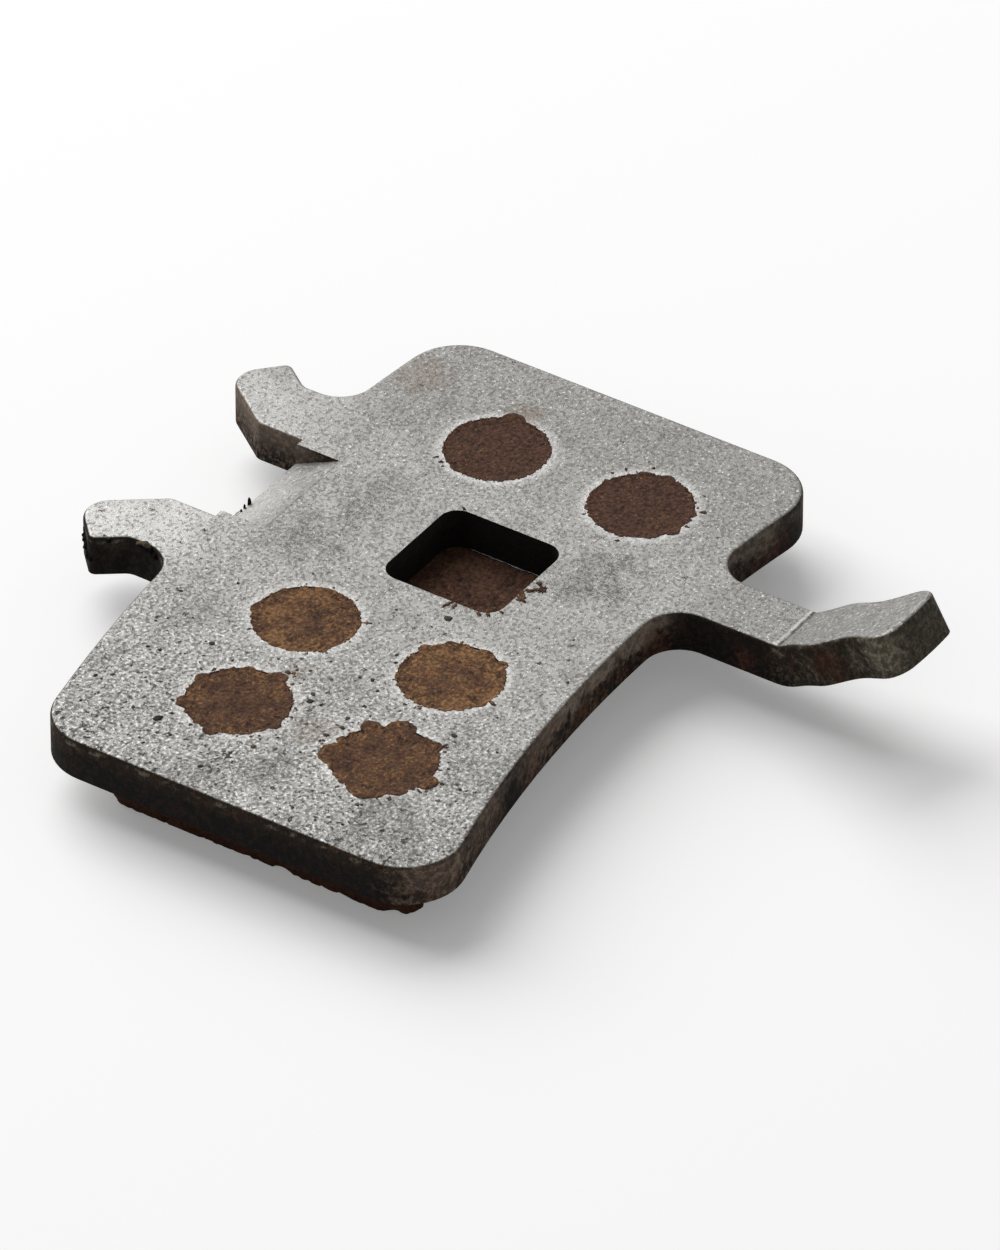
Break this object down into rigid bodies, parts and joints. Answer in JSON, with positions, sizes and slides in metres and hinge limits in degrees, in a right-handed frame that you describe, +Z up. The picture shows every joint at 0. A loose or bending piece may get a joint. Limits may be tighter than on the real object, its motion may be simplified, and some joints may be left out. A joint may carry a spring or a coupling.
{
  "type": "bicycle disc brake pad",
  "caption": "Flat steel plate with hooks, a square window and a bent pull tab, backed by a block of friction lining that a brake piston presses on a rotor.",
  "frame": {"origin": "on the friction face, under the centre of the plate's square window", "axes": "+Z up, out of the plate's back towards the piston; +Y towards the two hooks; +X along the plate towards its short end"},
  "size_m": [0.034, 0.0377, 0.0073],
  "materials": {
    "plate_steel": "blasted and worn grey back, dark rusty walls and front",
    "friction_compound": "dull, grainy brown compound with pits and metal flecks"
  },
  "bodies": {
    "root": {"backing_plate": "plate_steel", "friction_lining": "friction_compound"}
  },
  "joints": []
}
